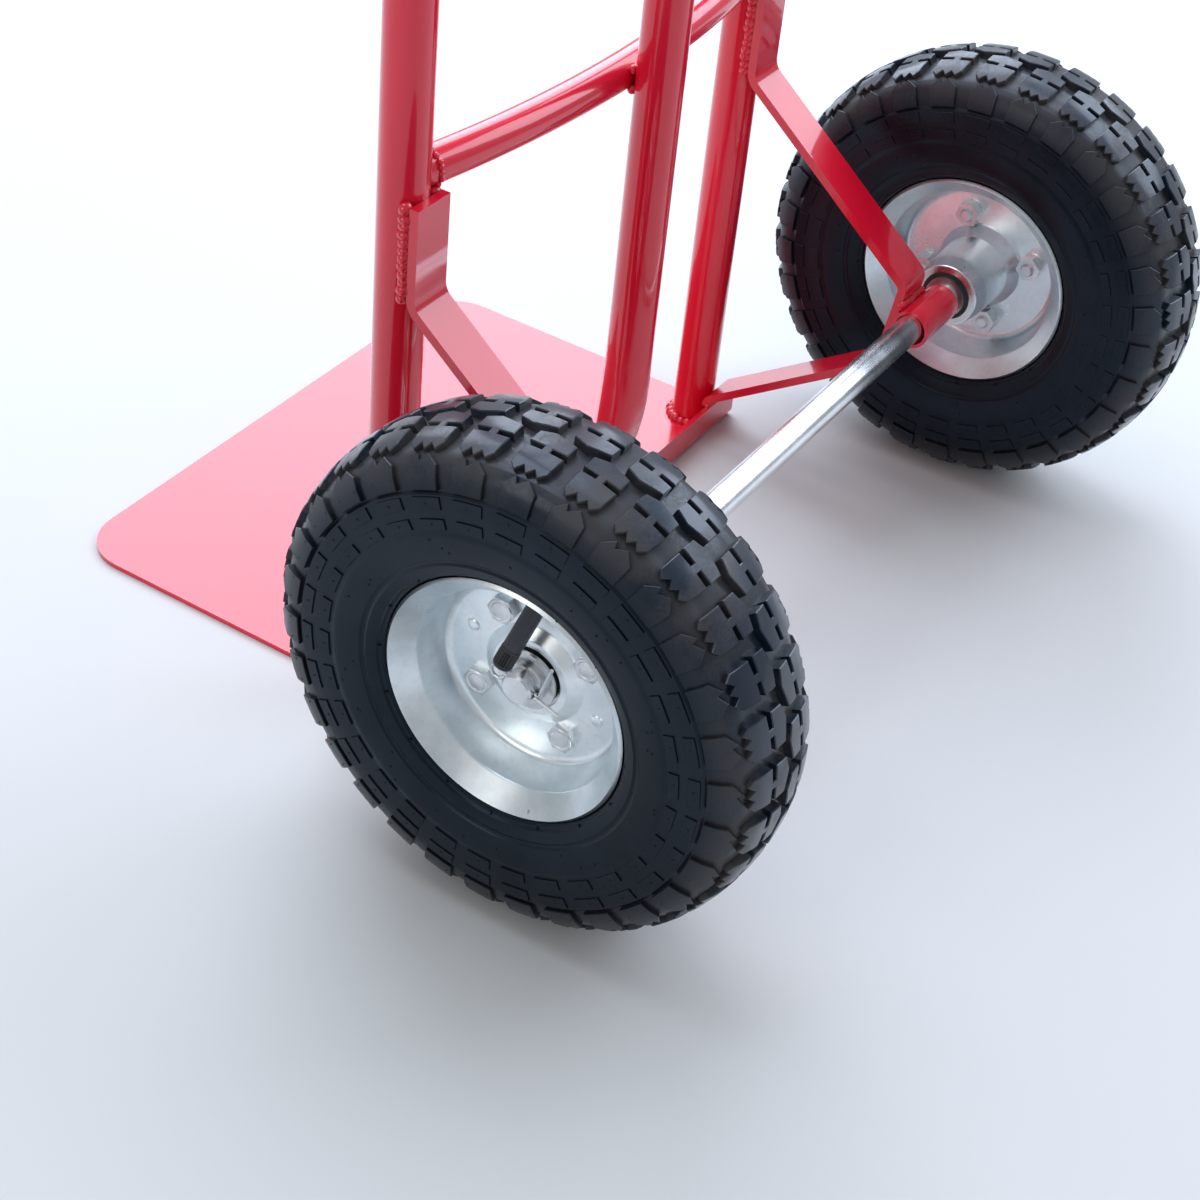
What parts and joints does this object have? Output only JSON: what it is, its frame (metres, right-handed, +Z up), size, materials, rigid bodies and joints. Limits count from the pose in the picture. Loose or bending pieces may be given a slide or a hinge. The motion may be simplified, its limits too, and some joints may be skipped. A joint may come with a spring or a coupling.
{
  "type": "hand truck",
  "caption": "Upright tubular hand truck with a folded toe plate, bowed cross bars, rubber grips and pneumatic wheels on bolted steel rims.",
  "frame": {"origin": "on the floor, midway across the truck and midway between the toe plate's front edge and the rear of the tyres", "axes": "+X to the left wheel as the person pushing sees it, +Y towards the wheels and that person, +Z up the rails"},
  "size_m": [0.5538, 0.473, 1.1257],
  "materials": {
    "red_powder_coat": "glossy red powder coat",
    "zinc_plate": "bright zinc-plated pressed steel",
    "axle_zinc": "bright zinc-plated drawn bar",
    "bolt_zinc": "bright zinc-plated fasteners",
    "bearing_steel": "ground bearing steel",
    "tyre_rubber": "moulded black rubber, slight sheen",
    "tube_rubber": "matte black rubber",
    "valve_rubber": "satin black rubber",
    "seal_rubber": "matte black rubber",
    "grip_rubber": "matte black moulded rubber",
    "cap_plastic": "matte black plastic"
  },
  "bodies": {
    "frame": {"toe_plate": "red_powder_coat", "centre_tube": "red_powder_coat", "centre_tube_plug": "cap_plastic", "cross_bar_1": "red_powder_coat", "cross_bar_2": "red_powder_coat", "cross_bar_3": "red_powder_coat", "cross_bar_4": "red_powder_coat", "left_side_rail": "red_powder_coat", "left_grip": "grip_rubber", "left_stay": "red_powder_coat", "left_axle_sleeve": "red_powder_coat", "right_side_rail": "red_powder_coat", "right_grip": "grip_rubber", "right_stay": "red_powder_coat", "right_axle_sleeve": "red_powder_coat"},
    "axle": {"axle": "axle_zinc", "left_bearing_inner_rings": "bearing_steel", "left_inner_washer": "bolt_zinc", "left_bearing_spacer": "bolt_zinc", "left_outer_washer": "bolt_zinc", "left_axle_collar": "bolt_zinc", "left_split_pin": "bolt_zinc", "right_bearing_inner_rings": "bearing_steel", "right_inner_washer": "bolt_zinc", "right_bearing_spacer": "bolt_zinc", "right_outer_washer": "bolt_zinc", "right_axle_collar": "bolt_zinc", "right_split_pin": "bolt_zinc"},
    "left_wheel": {"left_tyre": "tyre_rubber", "left_inner_tube": "tube_rubber", "left_valve_stem": "valve_rubber", "left_valve_cap": "cap_plastic", "left_rim_outer_half": "zinc_plate", "left_rim_inner_half": "zinc_plate", "left_hub_barrel": "zinc_plate", "left_bearing_outer_rings": "bearing_steel", "left_bearing_balls": "bearing_steel", "left_bearing_seals": "seal_rubber", "left_rim_bolts": "bolt_zinc", "left_rim_nuts": "bolt_zinc", "left_rim_lock_washers": "bolt_zinc"},
    "right_wheel": {"right_tyre": "tyre_rubber", "right_inner_tube": "tube_rubber", "right_valve_stem": "valve_rubber", "right_valve_cap": "cap_plastic", "right_rim_outer_half": "zinc_plate", "right_rim_inner_half": "zinc_plate", "right_hub_barrel": "zinc_plate", "right_bearing_outer_rings": "bearing_steel", "right_bearing_balls": "bearing_steel", "right_bearing_seals": "seal_rubber", "right_rim_bolts": "bolt_zinc", "right_rim_nuts": "bolt_zinc", "right_rim_lock_washers": "bolt_zinc"}
  },
  "joints": [
    {"name": "axle_turn", "type": "hinge", "parent": "frame", "child": "axle", "pos_m": [0, 0.106, 0.1305], "axis": [1, 0, 0], "continuous": true},
    {"name": "left_wheel_spin", "type": "hinge", "parent": "axle", "child": "left_wheel", "pos_m": [0.23975, 0.106, 0.1305], "axis": [1, 0, 0], "continuous": true},
    {"name": "right_wheel_spin", "type": "hinge", "parent": "axle", "child": "right_wheel", "pos_m": [-0.23975, 0.106, 0.1305], "axis": [1, 0, 0], "continuous": true}
  ]
}
